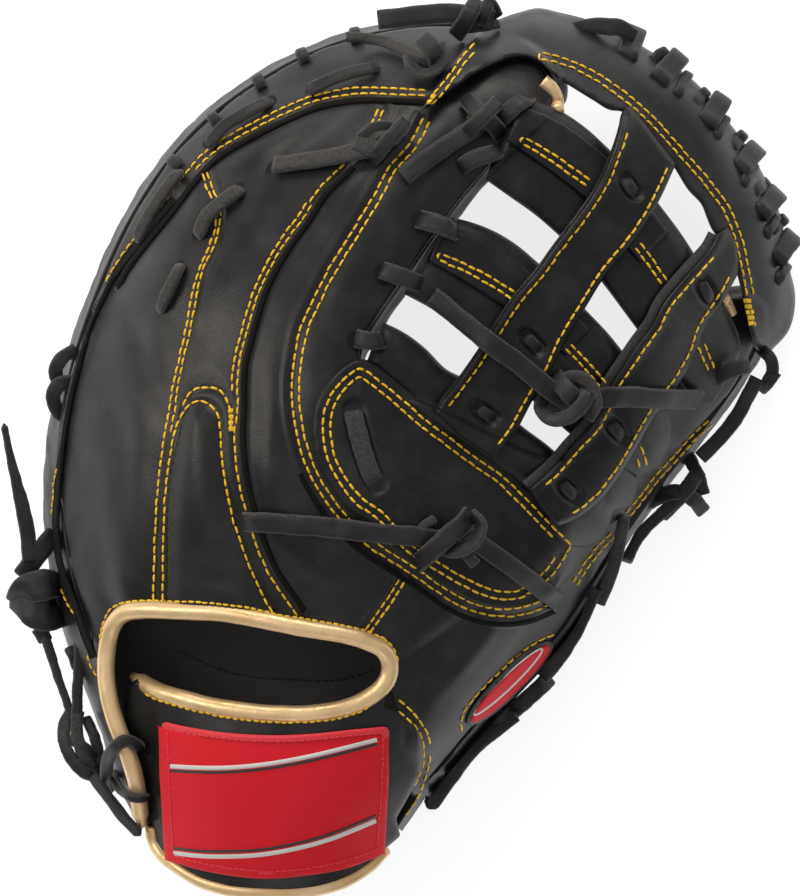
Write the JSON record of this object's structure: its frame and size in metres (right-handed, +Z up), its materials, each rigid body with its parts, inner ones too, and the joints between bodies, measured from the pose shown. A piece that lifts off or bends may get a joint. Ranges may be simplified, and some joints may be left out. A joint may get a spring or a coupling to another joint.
{
  "type": "first baseman mitt",
  "caption": "First baseman mitt in black leather with gold stitching, a laced web of posts and cross panels, a padded palm and a wrist strap with a red patch, lying palm down.",
  "frame": {"origin": "under the middle of the mitt, its laces left out, on the surface that it lies on", "axes": "+Z up out of the back of the mitt, +Y from the heel to the finger tips, +X towards the thumb and web side"},
  "size_m": [0.2994, 0.3294, 0.1072],
  "materials": {
    "black_leather": "smooth full-grain leather with a soft sheen",
    "black_lace": "rawhide lace, smooth on one side and suede on the other",
    "gold_binding": "metallic gold leather binding",
    "red_patch": "woven twill with a satin border"
  },
  "bodies": {
    "root": {"palm": "black_leather", "back": "black_leather", "strap": "black_leather", "opening_binding": "gold_binding", "strap_binding": "gold_binding", "patch": "red_patch", "oval_patch": "red_patch", "sleeve": "black_leather", "index_pad": "black_leather", "bar_a": "black_leather", "bar_b": "black_leather", "bar_c": "black_leather", "post_a": "black_leather", "post_b": "black_leather", "web_rim": "black_leather", "rim_lace": "black_lace", "edge_lace": "black_lace", "heel_lace": "black_lace", "finger_lace_1": "black_lace", "finger_lace_2": "black_lace", "finger_lace_3": "black_lace", "finger_lace_4": "black_lace", "finger_lace_5": "black_lace", "sleeve_lace": "black_lace", "thumb_lace": "black_lace", "thumb_lace_b": "black_lace", "thumb_lace_c": "black_lace", "top_knot": "black_lace", "tip_knot": "black_lace", "panel_knot": "black_lace", "web_knot_a": "black_lace", "web_knot_b": "black_lace", "sleeve_knot": "black_lace", "heel_knot_a": "black_lace", "heel_knot_b": "black_lace", "thumb_knot_a": "black_lace", "thumb_knot_b": "black_lace", "top_tail": "black_lace", "tip_tail": "black_lace", "panel_tail": "black_lace", "web_tail_a": "black_lace", "web_tail_b": "black_lace", "web_tail_c": "black_lace", "sleeve_tail_a": "black_lace", "sleeve_tail_b": "black_lace", "heel_tail_a": "black_lace", "heel_tail_b": "black_lace", "thumb_tail": "black_lace"}
  },
  "joints": []
}
